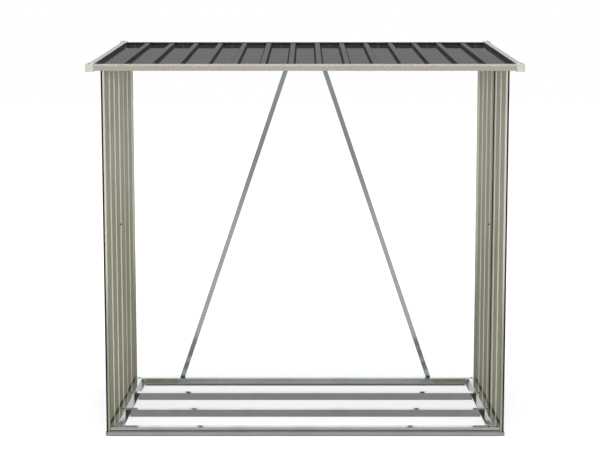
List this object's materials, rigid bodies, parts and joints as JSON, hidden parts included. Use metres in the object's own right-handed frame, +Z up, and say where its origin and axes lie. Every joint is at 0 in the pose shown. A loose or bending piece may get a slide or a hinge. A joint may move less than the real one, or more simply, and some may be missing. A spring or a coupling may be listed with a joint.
{
  "type": "log store",
  "caption": "Open-fronted steel log store with ribbed side walls, a ribbed pent roof rising to the back, raised floor rails and two leaning rear braces.",
  "frame": {"origin": "middle of the footprint at ground level", "axes": "+X to the right seen from the open front, +Y towards the back, +Z up"},
  "size_m": [1.63, 0.83, 1.532],
  "materials": {
    "galvanised": "bright galvanised",
    "wall_paint": "satin",
    "roof_paint": "satin",
    "trim_paint": "satin",
    "cap_plastic": "matte"
  },
  "bodies": {
    "root": {"base_front_rail": "galvanised", "base_rear_rail": "galvanised", "base_left_rail": "galvanised", "base_right_rail": "galvanised", "floor_rail_front": "galvanised", "floor_rail_rear": "galvanised", "left_wall_front_sheet": "wall_paint", "left_wall_rear_sheet": "wall_paint", "right_wall_front_sheet": "wall_paint", "right_wall_rear_sheet": "wall_paint", "left_front_post": "wall_paint", "left_rear_post": "wall_paint", "right_front_post": "wall_paint", "right_rear_post": "wall_paint", "front_top_rail": "galvanised", "rear_top_rail": "galvanised", "left_top_rail": "galvanised", "right_top_rail": "galvanised", "left_brace": "galvanised", "right_brace": "galvanised", "roof_sheet_left": "roof_paint", "roof_sheet_right": "roof_paint", "front_fascia": "trim_paint", "rear_fascia": "trim_paint", "left_verge": "trim_paint", "right_verge": "trim_paint", "front_left_cap": "cap_plastic", "front_right_cap": "cap_plastic", "rear_left_cap": "cap_plastic", "rear_right_cap": "cap_plastic"}
  },
  "joints": []
}
